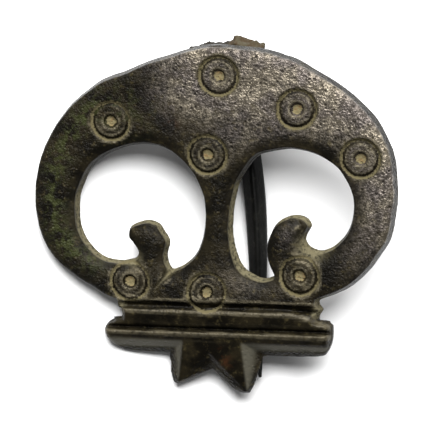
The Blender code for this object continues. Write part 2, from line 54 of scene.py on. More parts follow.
# Where the plate and the spring lie, read from the hinge and from the plate's flat back.
seat = dict(slant=math.radians(6.0), lugOffset=-0.42, axisHeight=13.954, axisDepth=4.75)
hinge = record["behaviour"]["joints"][0]
plateNormal = unit(-np.array(record["mounts"][0]["axis"]))
springAlong = np.array(hinge["axis"])
springAlong = unit(springAlong - plateNormal * (springAlong @ plateNormal))
springUp = np.cross(plateNormal, springAlong)
plateAcross = math.cos(seat["slant"]) * springAlong - math.sin(seat["slant"]) * springUp
plateUp = np.cross(plateNormal, plateAcross)
plateTurn = np.stack([plateAcross, plateUp, plateNormal], axis=1)
springTurn = np.stack([springAlong, springUp, plateNormal], axis=1)
springSeat = np.array(hinge["pos_m"])
plateSeat = springSeat - plateTurn @ np.array(
    [seat["lugOffset"], seat["axisHeight"], -seat["axisDepth"]]) * mm


def plateToWorld(points):
    return points @ plateTurn.T * mm + plateSeat


def springToWorld(points):
    return points @ springTurn.T * mm + springSeat


print("frame read")


def softMax(a, b, soft):
    # the larger of two distances, with the edge where they meet rounded over the length soft
    return np.maximum(a, b) + np.maximum(soft - np.abs(a - b), 0) ** 2 / (4 * soft)


def softMin(a, b, soft):
    return -softMax(-a, -b, soft)


def smooth(low, high, x):
    # 0 below low, 1 above high, an S between
    t = np.clip((x - low) / (high - low), 0, 1)
    return t * t * (3 - 2 * t)


def turned(dx, dy, slant):
    # the same step in axes that are turned anticlockwise by slant
    c, n = math.cos(slant), math.sin(slant)
    return c * dx + n * dy, -n * dx + c * dy


def bell(x, width):
    return np.exp(-(x / width) ** 2)


def waves(x, y, size, seed, count=14):
    # a sum of sine waves of about the given size in random directions, within about -1 to 1
    rng = np.random.default_rng(seed)
    angle = rng.uniform(0, 2 * np.pi, count)
    pitch = 2 * np.pi / (size * rng.uniform(0.6, 1.6, count))
    phase = rng.uniform(0, 2 * np.pi, count)
    total = np.zeros(np.broadcast(x, y).shape)
    for a, p, f in zip(angle, pitch, phase):
        total = total + np.sin((x * np.cos(a) + y * np.sin(a)) * p + f)
    return total / math.sqrt(count)


def lineDistance(x, y, points):
    # distance to an open line through the points, and how far along it the nearest place is (0 to 1)
    best, share = np.full(x.shape, 99.0), np.zeros(x.shape)
    pieces = len(points) - 1
    for i, ((ax, ay), (bx, by)) in enumerate(zip(points, points[1:])):
        ex, ey = bx - ax, by - ay
        t = np.clip(((x - ax) * ex + (y - ay) * ey) / (ex * ex + ey * ey), 0, 1)
        d = np.hypot(x - ax - t * ex, y - ay - t * ey)
        share = np.where(d < best, (i + t) / pieces, share)
        best = np.minimum(best, d)
    return best, share


def catmullRom(a, b, c, d, t):
    # the curve from b to c, at shares t of the way
    return 0.5 * (2 * b + (c - a) * t + (2 * a - 5 * b + 4 * c - d) * t**2
                  + (3 * b - a - 3 * c + d) * t**3)


def closedCurve(points, steps=8):
    # a closed Catmull-Rom curve through the points; a corner is a point given twice running
    p = np.array(points, float)
    before, after, beyond = np.roll(p, 1, 0), np.roll(p, -1, 0), np.roll(p, -2, 0)
    t = (np.arange(steps) / steps)[None, :, None]
    a, b, c, d = (q[:, None, :] for q in (before, p, after, beyond))
    real = np.linalg.norm(after - p, axis=1) > 1e-6
    return catmullRom(a, b, c, d, t)[real].reshape(-1, 2)


def outlineDistance(x, y, loop):
    # distance to the nearest side of a closed loop, negative inside; inside is where a ray to the
    # right crosses the loop an odd number of times
    ax, ay = loop[:, 0], loop[:, 1]
    bx, by = np.roll(ax, -1), np.roll(ay, -1)
    shape = x.shape
    x, y = x.reshape(-1, 1).astype(np.float32), y.reshape(-1, 1).astype(np.float32)
    ax, ay, bx, by = (v[None, :].astype(np.float32) for v in (ax, ay, bx, by))
    ex, ey = bx - ax, by - ay
    t = np.clip(((x - ax) * ex + (y - ay) * ey) / (ex * ex + ey * ey), 0, 1)
    far = np.sqrt(((x - ax - t * ex) ** 2 + (y - ay - t * ey) ** 2).min(axis=1))
    spans = (ay > y) != (by > y)
    cut = ax + (y - ay) * ex / np.where(np.abs(ey) < 1e-9, 1e-9, ey)
    inside = (spans & (cut > x)).sum(axis=1) % 2 == 1
    return np.where(inside, -far, far).reshape(shape)


def boxBlur(values, reach):
    # the mean over a square of 2 * reach + 1 cells, by running sums along each axis in turn
    for axis in (0, 1):
        pad = [(0, 0), (0, 0)]
        pad[axis] = (reach + 1, reach)
        total = np.cumsum(np.pad(values, pad, mode="edge"), axis=axis)
        count = values.shape[axis]
        high = np.take(total, np.arange(count) + 2 * reach + 1, axis=axis)
        low = np.take(total, np.arange(count), axis=axis)
        values = (high - low) / (2 * reach + 1)
    return values


def netSurface(field, start, step):
    # The surface where the field is zero. Each cell that the surface crosses gets one point, the
    # mean of where it crosses the cell's edges, and each crossed edge gets one face between the
    # four cells round it.
    inside = field < 0
    counts = np.array(field.shape)
    ids, sums, quads = [], [], []
    strides = np.array([counts[1] * counts[2], counts[2], 1])
    for axis in range(3):
        one, two = [slice(None)] * 3, [slice(None)] * 3
        one[axis], two[axis] = slice(None, -1), slice(1, None)
        i, j, k = np.nonzero(inside[tuple(one)] != inside[tuple(two)])
        at = np.stack([i, j, k], axis=1)
        flat = at @ strides
        f0, f1 = field.reshape(-1)[flat], field.reshape(-1)[flat + strides[axis]]
        spot = at.astype(float)
        spot[:, axis] += f0 / (f0 - f1)
        u, v = (axis + 1) % 3, (axis + 2) % 3
        cells = [flat - strides[u] - strides[v], flat - strides[v], flat, flat - strides[u]]
        ids += cells
        sums += [spot] * 4
        quad = np.stack(cells, axis=1)
        quads.append(np.where(inside.reshape(-1)[flat][:, None], quad, quad[:, ::-1]))
    names, places = np.unique(np.concatenate(ids), return_inverse=True)
    sums = np.concatenate(sums)
    many = np.bincount(places)
    points = np.stack([np.bincount(places, sums[:, a]) / many for a in range(3)], axis=1)
    faces = np.searchsorted(names, np.concatenate(quads))
    return points * step + start, faces


def addMesh(name, points, faces, marks=None):
    # points and quads to a smooth mesh object at the origin; marks are values for each point
    mesh = bpy.data.meshes.new(name)
    mesh.vertices.add(len(points))
    mesh.vertices.foreach_set("co", points.astype(np.float32).ravel())
    mesh.loops.add(faces.size)
    mesh.loops.foreach_set("vertex_index", faces.ravel().astype(np.int32))
    mesh.polygons.add(len(faces))
    mesh.polygons.foreach_set("loop_start", np.arange(0, faces.size, 4, dtype=np.int32))
    mesh.polygons.foreach_set("loop_total", np.full(len(faces), 4, np.int32))
    mesh.polygons.foreach_set("use_smooth", np.ones(len(faces), bool))
    mesh.update()
    mesh.validate()
    for label, values in (marks or {}).items():
        layer = mesh.attributes.new(label, "FLOAT", "POINT")
        layer.data.foreach_set("value", values.astype(np.float32).ravel())
    thing = bpy.data.objects.new(name, mesh)
    bpy.context.scene.collection.objects.link(thing)
    return thing


# The casting: plate, mouldings, foot, lug and catch, all one piece. low and high are the corners of
# the grid that it is worked out on.
castingSet = dict(
    halfWidth=20.5, thickness=2.0, cell=0.135, triangles=190000, edgeSoft=0.14,
    low=(-21.7, -23.3, -6.9), high=(21.2, 17.0, 0.5),
    draft=0.36, rim=0.26, rimDepth=0.30, bowlDraft=1.1, bowlPlace=(3.0, -8.4), bowlWidth=2.6,
    insetLeast=-0.3, insetMost=1.2,
)

# The outlines of the plate's back and of its two openings, and the places of the marks, in shares of
# half the width; a corner is given twice.
outerShares = [
    (-0.007, 0.788), (0.215, 0.771), (0.386, 0.736), (0.520, 0.670), (0.657, 0.592), (0.788, 0.495),
    (0.898, 0.365), (0.966, 0.208), (0.985, 0.037), (0.973, -0.136), (0.936, -0.268),
    (0.829, -0.417), (0.705, -0.523), (0.568, -0.580), (0.568, -0.580), (0.566, -0.655), (0.566, -0.655),
    (-0.545, -0.680), (-0.545, -0.680), (-0.552, -0.632), (-0.552, -0.632), (-0.635, -0.607),
    (-0.803, -0.505), (-0.887, -0.444), (-0.960, -0.349), (-1.005, -0.230), (-1.027, -0.061),
    (-1.006, 0.112), (-0.942, 0.273), (-0.848, 0.416), (-0.721, 0.525), (-0.581, 0.604),
    (-0.312, 0.713), (-0.162, 0.765),
]
leftShares = [
    (-0.076, -0.124), (-0.098, -0.016), (-0.190, 0.124), (-0.309, 0.209), (-0.447, 0.214),
    (-0.575, 0.181), (-0.692, 0.096), (-0.766, -0.048), (-0.774, -0.139), (-0.760, -0.238),
    (-0.716, -0.330), (-0.641, -0.395), (-0.536, -0.417), (-0.455, -0.400), (-0.455, -0.400),
    (-0.441, -0.365), (-0.467, -0.323), (-0.497, -0.287), (-0.486, -0.225), (-0.404, -0.191),
    (-0.334, -0.202), (-0.293, -0.246), (-0.261, -0.301), (-0.274, -0.379), (-0.263, -0.432),
    (-0.237, -0.452), (-0.166, -0.411), (-0.108, -0.337), (-0.077, -0.219),
]
rightShares = [
    (0.745, -0.067), (0.731, 0.010), (0.695, 0.077), (0.651, 0.133), (0.586, 0.180), (0.505, 0.218),
    (0.399, 0.231), (0.301, 0.216), (0.210, 0.178), (0.129, 0.071), (0.102, -0.003),
    (0.081, -0.168), (0.087, -0.266), (0.115, -0.362), (0.158, -0.426), (0.217, -0.464),
    (0.267, -0.478), (0.316, -0.463), (0.316, -0.463), (0.277, -0.379), (0.268, -0.298), (0.293, -0.217),
    (0.333, -0.162), (0.391, -0.132), (0.442, -0.125), (0.492, -0.138), (0.519, -0.176),
    (0.498, -0.221), (0.492, -0.259), (0.518, -0.294), (0.562, -0.309),
    (0.604, -0.301), (0.655, -0.269), (0.699, -0.220), (0.730, -0.157),
]
ringShares = [
    (-0.595, 0.347), (-0.003, 0.618), (0.432, 0.457), (0.788, 0.205),
    (-0.054, 0.188), (-0.469, -0.522), (-0.042, -0.563), (0.470, -0.447),
]
# front profile of the crossbar: (distance down from its top groove, height)
barProfile = [
    (-1.6, 0.0), (-0.75, -0.02), (-0.34, -0.50), (-0.05, -0.66), (0.10, -0.54), (0.40, -0.10),
    (0.60, -0.03), (1.1, -0.08), (1.7, -0.22), (2.15, -0.42), (2.34, -0.86), (2.46, -0.94),
    (2.56, -0.78), (2.82, -0.14), (2.96, -0.08), (3.2, -0.20), (3.8, -0.46), (4.1, -0.72),
    (5.6, -2.17), (6.2, -2.8),
]
# outline of the lower bar's back, in the bar's frame
barOutline = [
    (-11.42, -1.45), (-11.99, -1.66), (-12.72, -2.04), (-13.22, -2.84), (-13.02, -3.67), (-12.42, -4.40),
    (-11.26, -5.08), (-10.13, -5.38), (-7.0, -5.52), (0.0, -5.58), (7.3, -5.56), (11.3, -5.30),
    (12.25, -4.72), (12.80, -3.45), (12.86, -1.95), (12.56, -1.50), (11.1, -1.15), (0.0, -1.15),
]
leftToothPoints = [
    (-0.98, 0.20, 1.0), (-0.96, 0.43, 1.0), (-0.92, 0.76, 1.0), (-0.86, 0.89, 1.0), (-0.76, 0.92, 1.0),
    (-0.02, 0.62, 1.0), (0.10, 0.10, 1.0),
    (-0.60, 0.11, 0.20), (-0.71, 0.83, 0.60), (-0.08, 0.31, 0.38), (0.05, 0.08, 0.22),
]
rightToothPoints = [
    (-0.12, 0.10, 0.98), (-0.02, 0.62, 0.98), (0.44, 0.94, 0.98), (0.62, 1.01, 0.98),
    (0.80, 1.00, 0.98), (0.89, 0.88, 0.98), (1.02, 0.51, 0.98), (1.08, 0.37, 0.98), (1.04, 0.22, 0.98),
    (0.62, 0.07, 0.18), (0.76, 0.95, 0.62), (-0.06, 0.31, 0.34), (-0.10, 0.08, 0.20),
]

# The front face. Waves are given as (height, size, seed), nicks as (x, y, radius), and the slopes in
# the bays beside the volutes as (x, y, reach, width from the opening, share of the depth).
frontSet = dict(
    edgeWaves=((0.05, 5.0, 1), (0.012, 1.4, 2)), frontWaves=((0.03, 6.0, 3), (0.014, 2.0, 5)),
    grainWaves=((0.006, 0.9, 6),),
    nicks=((4.8, 16.35, 0.5), (7.3, 15.75, 0.4), (18.0, -8.7, 0.3)), nickSoft=0.3,
    shoulderSeat=0.62, innerWidth=1.35, innerDrop=0.28, outerWidth=1.0, outerDrop=0.14,
    cutLine=((-4.7, -8.7), (-5.35, -9.75), (-6.6, -11.3)), cutWidth=0.85, cutNarrows=0.65,
    cutDepth=0.95, cutRises=0.80,
    crackLine=((8.69, -2.53), (9.33, -3.06), (9.80, -3.87), (9.04, -5.17)), crackWidth=0.16,
    crackDepth=0.24, crackRises=0.6,
    bays=((10.6, -6.3, 1.5, 1.5, 1.0), (-9.1, -8.3, 0.9, 1.2, 0.7)), bayEdge=0.3, bayDepth=0.75,
)
ringSet = dict(
    inner=1.66, radius=2.05, outer=2.38, depth=0.40, depthChange=0.18, wobble=0.03, seed=4,
    pitRadius=0.90, pitFloor=0.52, pitDepth=0.50, buttonDrop=0.05, buttonWidth=0.7, cutByBar=6,
)
# The crossbar, with the beads on its neck's ends as (size, place, width).
barSet = dict(
    x=0.4, y=-13.243, slant=math.radians(1.2), back=-2.16, waves=((0.015, 5.0, 7),),
    neckHalf=11.3, neckTop=1.2, neckFoot=3.4, neckLean=0.40, neckWaves=((0.05, 1.5, 9),),
    beads=((0.32, 0.05, 0.45), (-0.12, 1.0, 0.5)),
    cutFrom=(8.4, -0.47), cutWay=(0.30, 0.954), cutSteepness=0.85, cutMost=0.9,
    shrink=0.06, endShrink=0.34, shrinkDepth=2.2, shrinkPower=1.5, shrinkAmount=0.55,
)
toothSet = dict(half=5.2, length=6.6, x=-0.2, top=-16.143, fill=0.08, soft=0.07)


def roughness(x, y, layers):
    # unevenness: waves of several heights and sizes added up
    return sum(height * waves(x, y, size, seed) for height, size, seed in layers)


def hullPlanes(corners):
    # outward normals and offsets of the faces of the corners' hull
    hull = bmesh.new()
    for corner in corners:
        hull.verts.new(corner)
    bmesh.ops.convex_hull(hull, input=hull.verts)
    bmesh.ops.recalc_face_normals(hull, faces=hull.faces)
    normals = np.array([f.normal for f in hull.faces])
    offsets = np.array([f.normal.dot(f.verts[0].co) for f in hull.faces])
    hull.free()
    keep = np.linalg.norm(normals, axis=1) > 0.5
    return normals[keep], offsets[keep]


def toothField(points, x, y, z):
    # distance to a ridged tooth: the largest distance to any face of the hull of its corners
    s = toothSet
    corners = [(s["x"] + a * s["half"], s["top"] - d * s["length"], -t * castingSet["thickness"])
               for a, d, t in points]
    normals, offsets = hullPlanes(corners)
    total = np.full(np.broadcast(x, y, z).shape, -9.0, np.float32)
    for n, o in zip(normals, offsets):
        total = softMax(total, x * n[0] + y * n[1] + z * n[2] - o - s["fill"], s["soft"])
    return total


def ringRelief(x, y):
    # V grooves round a flat-floored pit, one for each mark; every mark a little different
    s = ringSet
    inner, radius, outer = s["inner"], s["radius"], s["outer"]
    rng = np.random.default_rng(s["seed"])
    drop, grooves, floors, buttons, bands, lastRing = (np.zeros_like(x) for _ in range(6))
    for number, (u, v) in enumerate(ringShares):
        dx, dy = x - u * castingSet["halfWidth"], y - v * castingSet["halfWidth"]
        turn = np.arctan2(dy, dx)
        r = np.hypot(dx, dy) + s["wobble"] * np.sin(2 * turn + rng.uniform(0, 6))
        depth = s["depth"] * (1 + s["depthChange"] * np.sin(turn + rng.uniform(0, 6)))
        groove = np.clip(np.minimum((r - inner) / (radius - inner), (outer - r) / (outer - radius)), 0, 1)
        pit = smooth(s["pitRadius"], s["pitFloor"], r)
        button = s["buttonDrop"] * smooth(radius, radius - s["buttonWidth"], r)
        here = np.maximum(groove * depth, pit * s["pitDepth"] + button)
        if number == s["cutByBar"]:
            lastRing = here
        drop = np.maximum(drop, here)
        grooves = np.maximum(grooves, smooth(-0.10, 0.06, r - radius) * smooth(0.0, 0.35, groove))
        floors = np.maximum(floors, smooth(s["pitFloor"] + 0.14, s["pitFloor"] - 0.06, r))
        buttons = np.maximum(buttons, smooth(inner + 0.15, inner - 0.1, r))
        bands = np.maximum(bands, smooth(inner - 0.06, inner + 0.08, r)
                           * smooth(outer + 0.20, outer + 0.04, r))
    return drop, grooves, floors, buttons, bands, lastRing


def castingOutlines(x, y):
    # distances to the outer edge with its worn nicks, and to the two openings, negative in the metal
    half = castingSet["halfWidth"]
    outer = outlineDistance(x, y, closedCurve(np.array(outerShares) * half))
    left = -outlineDistance(x, y, closedCurve(np.array(leftShares) * half))
    right = -outlineDistance(x, y, closedCurve(np.array(rightShares) * half))
    for cx, cy, r in frontSet["nicks"]:
        outer = softMax(outer, r - np.hypot(x - cx, y - cy), frontSet["nickSoft"])
    return outer, left, right


def frontCuts(x, y, openings):
    # the V cut at the left volute's root, the crack in the right one and the slopes in the bays
    s = frontSet
    away, along = lineDistance(x, y, s["cutLine"])
    width = s["cutWidth"] - s["cutNarrows"] * along
    cut = np.clip(1 - away / width, 0, 1) * (s["cutDepth"] - s["cutRises"] * along)
    away, along = lineDistance(x, y, s["crackLine"])
    crack = bell(away, s["crackWidth"]) * s["crackDepth"] * (1 - s["crackRises"] * along)
    slope = 0
    for cx, cy, reach, width, share in s["bays"]:
        near = np.clip(1 + (openings + s["bayEdge"]) / width, 0, 1)
        slope = slope + share * near * bell(np.hypot(x - cx, y - cy), reach)
    return cut, crack, slope


def barPlace(x, y):
    # places across and up in the crossbar's own frame
    s = barSet
    return turned(x - s["x"], y - s["y"], s["slant"])


def barRelief(x, y, bx, by):
    # height of the mouldings; at its right end the band is cut back along a slanting line
    s = barSet
    profile = np.array(barProfile)
    height = np.interp(-by, profile[:, 0], profile[:, 1]) + roughness(x, y * 2, s["waves"])
    beyond = (bx - s["cutFrom"][0]) * s["cutWay"][0] + (by - s["cutFrom"][1]) * s["cutWay"][1]
    slanted = smooth(7.8, 9.0, bx) * smooth(-2.4, -1.9, by) * smooth(0.1, -0.2, by)
    return height - slanted * s["cutSteepness"] * np.clip(beyond, 0, s["cutMost"])


def barField(bx, by, z, height):
    # the upper moulding with its beaded ends, and below it the bar, whose ends curve down to the
    # back: its outline shrinks towards the front
    s = barSet
    cover = z - height[:, :, None]
    fromBack = z + castingSet["thickness"]
    bead = sum(size * bell(by - place, width) for size, place, width in s["beads"])
    neckEnd = (np.abs(bx) - s["neckHalf"] - bead + roughness(bx, by, s["neckWaves"]))[:, :, None]
    upper = softMax(cover, neckEnd + s["neckLean"] * fromBack, 0.2)
    upper = softMax(upper, np.maximum(by - s["neckTop"], -by - s["neckFoot"])[:, :, None], 0.1)
    outline = outlineDistance(bx, by, closedCurve(np.array(barOutline)))[:, :, None]
    shrink = (s["shrink"] + s["endShrink"] * smooth(9.5, 12.0, np.abs(bx)))[:, :, None]
    curve = np.clip(fromBack, 0, s["shrinkDepth"]) ** s["shrinkPower"]
    shrunk = outline + shrink * curve * s["shrinkAmount"]
    middle = np.maximum(np.where((by < -3.0)[:, :, None], -9.0, shrunk), outline)
    nearEnd = smooth(9.0, 10.5, np.abs(bx))[:, :, None]
    lower = softMax(cover, shrunk * nearEnd + (1 - nearEnd) * middle, 0.3)
    return softMax(softMin(upper, lower, 0.12), s["back"] - z, 0.12)


def castingField(x, y, z):
    # distance to plate, bar and foot, negative inside: walls from the outlines, front from a relief;
    # and marks for where soil lies and hands polish
    s, f = castingSet, frontSet
    flatX, flatY = x[:, :, 0], y[:, :, 0]
    outer, left, right = castingOutlines(flatX, flatY)
    openings = np.maximum(left, right)
    edge = np.maximum(outer, openings) + roughness(flatX, flatY, f["edgeWaves"])

    # broad smooth shoulders along the openings, a narrower one round the outside
    reach = np.clip(1 + (openings + f["shoulderSeat"]) / f["innerWidth"], 0, 1)
    outerReach = np.clip(1 + (outer + f["shoulderSeat"]) / f["outerWidth"], 0, 1)
    front = roughness(flatX, flatY, f["frontWaves"])
    front = front + roughness(flatX, flatY, f["grainWaves"]) * (1 - reach)
    front = front - f["innerDrop"] * reach**2 - f["outerDrop"] * outerReach**2
    drop, grooves, floors, buttons, bands, lastRing = ringRelief(flatX, flatY)
    cut, crack, slope = frontCuts(flatX, flatY, openings)
    front = front - cut - crack - f["bayDepth"] * slope

    # the face gives way to the mouldings, and the lowest mark runs on into them, shallower
    bx, by = barPlace(flatX, flatY)
    barFront = barRelief(flatX, flatY, bx, by)
    nearBar = smooth(1.5, 0.8, by)
    front = front * (1 - nearBar) + np.minimum(front, barFront) * nearBar
    front = front - drop * smooth(-0.25, 0.1, by + 0.35)
    barFront = barFront - 0.8 * np.where(by > -0.75, lastRing, 0) * (by < 0.9)

    # walls lean back towards the front face, most of all in the bowl at the right opening's foot
    fromBowl = np.hypot(flatX - s["bowlPlace"][0], flatY - s["bowlPlace"][1])
    bowl = bell(fromBowl, s["bowlWidth"]) * (right > left) * (openings > outer)
    draft = s["draft"] * (1 + s["bowlDraft"] * bowl)[:, :, None]
    inset = np.where(z < -s["rimDepth"],
                     draft * (z + s["thickness"]) / (s["thickness"] - s["rimDepth"]),
                     draft + s["rim"] * (z + s["rimDepth"]) / s["rimDepth"])
    walls = edge[:, :, None] + np.clip(inset, s["insetLeast"], s["insetMost"])
    plate = softMax(walls, z - front[:, :, None], s["edgeSoft"])
    plate = softMax(plate, -s["thickness"] - z, s["edgeSoft"])
    whole = softMin(plate, barField(bx, by, z, barFront), 0.1)
    for points in (leftToothPoints, rightToothPoints):
        whole = softMin(whole, toothField(points, x, y, z), 0.12)

    # dirt gathers below the blurred height and hands polish above it
    top = np.where(by < 0.5, barFront, front)
    solid = ((edge < -0.3) | (by < 0.5)).astype(float)
    cells = int(round(0.4 / s["cell"]))
    near = np.maximum(boxBlur(boxBlur(solid, cells), cells), 0.05)
    around = boxBlur(boxBlur(top * solid, cells), cells) / near
    onPlate = smooth(0.0, 0.6, by)
    slopeX, slopeY = np.gradient(openings, s["cell"])
    marks = dict(
        groove=grooves * smooth(-0.8, -0.6, by), pit=floors, button=buttons, band=bands,
        hollow=smooth(0.05, 0.25, around - top) * (0.5 + 0.5 * onPlate),
        ridge=smooth(0.05, 0.13, top - around) * (0.55 + 0.45 * onPlate),
        inner=smooth(-2.5, -1.0, openings) * smooth(-0.1, 0.45, 0.55 * slopeX + 0.83 * slopeY),
        slope=np.clip(1.6 * slope + 1.5 * cut, 0, 1) * onPlate,
        shoulder=reach * onPlate, outer=outer, bar=1 - onPlate, by=by, bx=bx,
    )
    return whole, marks


lugSet = dict(hub=1.55, bore=0.9, half=0.45, rootMiddle=1.9, rootSpread=0.12, sideSpread=0.05)


def lugField(x, y, z):
    # a tongue on edge behind the plate: a disc and a root that spreads towards the plate, less the bore
    s = lugSet
    along, down = turned(x - seat["lugOffset"], y - seat["axisHeight"], seat["slant"])
    deep = z + seat["axisDepth"]
    r = np.hypot(down, deep)
    root = softMax(np.abs(down) - s["hub"] - s["rootSpread"] * deep,
                   np.abs(deep - s["rootMiddle"]) - s["rootMiddle"], 0.1)
    tongue = softMin(r - s["hub"], root, 0.25)
    tongue = softMax(tongue, s["bore"] - r, 0.08)
    return softMax(tongue, np.abs(along) - s["half"] - s["sideSpread"] * deep, 0.15)


catchSet = dict(channel=0.65, wall=0.7, lip=math.radians(-120), half=1.8, clearance=0.3, root=0.25)


def catchPlace():
    # the middle of the hook, in the plate's frame: beside the pin, a clearance away from the wire
    s = catchSet
    share = np.array(wireSet["pinToCatch"] / wireSet["pinLength"])
    beside, along, height = pinLine(share)
    wireRadius = float(pinThickness(share)) * wireSet["wire"] / 2
    across = beside + (wireRadius + s["clearance"] - (s["channel"] + s["wall"]) * math.cos(s["lip"]))
    toRight, up = turned(across, along, -seat["slant"])
    return seat["lugOffset"] + toRight, seat["axisHeight"] + up, height - seat["axisDepth"]


def catchField(x, y, z):
    # a strip bent into a hook, open towards the pin: part of a ring and a straight root
    s = catchSet
    middleX, middleY, middleZ = catchPlace()
    rise = -middleZ - castingSet["thickness"] + s["root"]
    side, along = turned(x - middleX, y - middleY, seat["slant"])
    deep = z - middleZ
    r, turn = np.hypot(side, deep), np.arctan2(deep, side)
    mid = s["channel"] + s["wall"] / 2
    ring = np.abs(r - mid) - s["wall"] / 2
    ring = softMax(ring, np.maximum(deep, (s["lip"] - turn) * mid), 0.1)
    root = np.maximum(np.abs(side - mid) - s["wall"] / 2, np.abs(deep - rise / 2) - rise / 2)
    return softMax(softMin(ring, root, 0.1), np.abs(along) - s["half"], 0.2)


# The wire: pin, two coils and the chord between them. Corrosion lumps on the coils are given as
# (x, y, z, length, thickness), and the worn tops as (side, from where, height, fall).
wireSet = dict(
    wire=1.5, rod=1.2, rodClearance=0.35, pitch=1.62, firstTurn=1.5, rightEnd=math.radians(510),
    leftStart=math.radians(210), leftEnd=math.radians(810), turnPoints=110,
    chordGap=0.15, chordHeight=0.25, chordBend=0.85, chordSteps=12,
    pinLength=35.4, pinToCatch=30.8, heightAtCatch=2.1, bow=0.4, sideBow=0.6,
    swell=1.36, swellEnd=0.85, taperStart=0.68, taper=0.78, taperPower=1.6, pinStations=141,
    cell=0.15, step=0.2, melt=0.10, crust=0.05, low=(-5.9, -4.5, -3.1), high=(6.0, 3.2, 3.1),
    lumps=((-2.3, 1.15, 0.45, 2.1, 1.0), (2.3, 1.25, 0.45, 2.6, 1.25)), lumpSoft=0.5,
    worn=((1, 2.5, 2.45, 0.38), (-1, 1.4, 2.15, 0.28)), wornSoft=0.5, wornWaves=0.16,
)
coilRadius = wireSet["rod"] / 2 + wireSet["rodClearance"] + wireSet["wire"] / 2
coilOuter = coilRadius + wireSet["wire"] / 2


def pinLine(share):
    # the pin's centre line in the spring's frame: a straight fall from coil to catch, less a bow
    s = wireSet
    catchShare = s["pinToCatch"] / s["pinLength"]
    rise = (seat["axisDepth"] - castingSet["thickness"] - s["heightAtCatch"] + coilRadius
            + 4 * s["bow"] * catchShare * (1 - catchShare)) / catchShare
    x = s["firstTurn"] + s["sideBow"] * (1 - np.cos(2 * np.pi * share)) / 2
    z = -coilRadius + rise * share - 4 * s["bow"] * share * (1 - share)
    return np.stack([x, -s["pinLength"] * share, z], axis=-1)


def pinThickness(share):
    # as a share of the wire: swelling past the coil, then tapering to the tip
    s = wireSet
    swell = 1 + (s["swell"] - 1) * (1 - np.cos(2 * np.pi * np.minimum(share / s["swellEnd"], 1))) / 2
    past = np.maximum(share - s["taperStart"], 0) / (1 - s["taperStart"])
    return swell * (1 - s["taper"] * past ** s["taperPower"])


def coilLine(angle, x):
    return np.stack([x, coilRadius * np.cos(angle), coilRadius * np.sin(angle)], axis=-1)


def coilPath():
    # right coil, chord, left coil: two helices and a Catmull-Rom curve between them
    s = wireSet
    near, start = pinLine(np.array([0.01, 0.0]))
    first = -np.pi / 2 - math.atan2(near[2] - start[2], start[1] - near[1])
    angle = np.linspace(first, s["rightEnd"], s["turnPoints"])
    right = coilLine(angle, s["firstTurn"] + s["pitch"] * (angle - first) / (2 * np.pi))
    end = right[-1, 0]
    turn = np.linspace(s["leftStart"], s["leftEnd"], s["turnPoints"])
    left = coilLine(turn, -s["firstTurn"] - s["pitch"] * (turn[-1] - turn) / (2 * np.pi))
    chord = coilOuter + s["chordGap"] + s["wire"] / 2
    corner, bend, straight = end + 0.08 * s["wire"], end - 0.03 * s["wire"], end - s["chordBend"]
    w = s["wire"]
    knots = np.array([
        right[-7], right[-1], (corner, -0.66 * chord, 0.25 * w), (bend, -0.88 * chord, 0.17 * w),
        (straight, -chord, s["chordHeight"]), (0, -chord, s["chordHeight"]),
        (-straight, -chord, s["chordHeight"]), (-bend, -0.88 * chord, 0.07 * w),
        (-corner, -0.66 * chord, -0.22 * w), left[0], left[6]])
    t = (np.arange(s["chordSteps"]) / s["chordSteps"])[None, :, None]
    a, b, c, d = (knots[i:len(knots) - 3 + i, None, :] for i in range(4))
    link = catmullRom(a, b, c, d, t).reshape(-1, 3)
    return np.concatenate([right[:-1], link, left])


def coilShell():
    # the coils as the places that lie a wire's radius from the line, melted together where turns
    # nearly touch, with a crust over the top of both bundles and corrosion's unevenness
    s = wireSet
    line = coilPath()
    start = pinLine(np.linspace(0.0, 0.04, 12))[1:]
    line = np.concatenate([start[::-1], line])
    gaps = np.linalg.norm(np.diff(line, axis=0), axis=1)
    run = np.concatenate([[0], np.cumsum(gaps)])
    even = np.arange(0, run[-1], s["step"])
    line = np.stack([np.interp(even, run, line[:, a]) for a in range(3)], axis=1)
    cell, melt = s["cell"], s["melt"]
    gx, gy, gz = (np.arange(low, high, cell) for low, high in zip(s["low"], s["high"]))
    x, y, z = np.meshgrid(gx, gy, gz, indexing="ij")
    places = np.stack([x, y, z], axis=-1).reshape(-1, 3).astype(np.float32)
    # -melt times the log of the sum of exp(-distance / melt) over the line's points; spacing takes
    # out what the sum gains from many points
    total = []
    for part in np.array_split(places, 24):
        far = np.sqrt(((part[:, None, :] - line[None].astype(np.float32)) ** 2).sum(axis=2))
        total.append(np.exp(-(far - s["wire"] / 2) / melt).sum(axis=1))
    total = np.maximum(np.concatenate(total), 1e-30)
    spacing = melt * math.log(math.sqrt(2 * np.pi * s["wire"] / 2 * melt) / s["step"])
    field = (-melt * np.log(total) + spacing).reshape(x.shape)
    for cx, cy, cz, long, thick in s["lumps"]:
        r = np.sqrt(((x - cx) / long) ** 2 + ((y - cy) / thick) ** 2 + ((z - cz) / thick) ** 2)
        field = softMin(field, (r - 1) * thick, s["lumpSoft"])
    # the tops of the coils fall away towards their outer ends
    uneven = waves(x, z, 1.6, 23) * s["wornWaves"]
    for way, begin, top, fall in s["worn"]:
        above = (y - top + fall * (way * x - begin) + uneven) / math.hypot(1, fall)
        field = softMax(field, above, s["wornSoft"])
    rough = waves(x + 0.6 * z, y - 0.5 * z, 1.3, 21) * 0.05
    rough = rough + waves(x - 0.5 * y, z + 0.4 * x, 0.7, 22) * 0.03
    field = field - s["crust"] - rough * (1 + 1.2 * smooth(0.4, 2.0, y))
    points, faces = netSurface(field, np.array([gx[0], gy[0], gz[0]]), cell)
    rust = smooth(0.3, 1.6, points[:, 0]) * smooth(0.3, 1.5, points[:, 1])
    return points, faces, rust


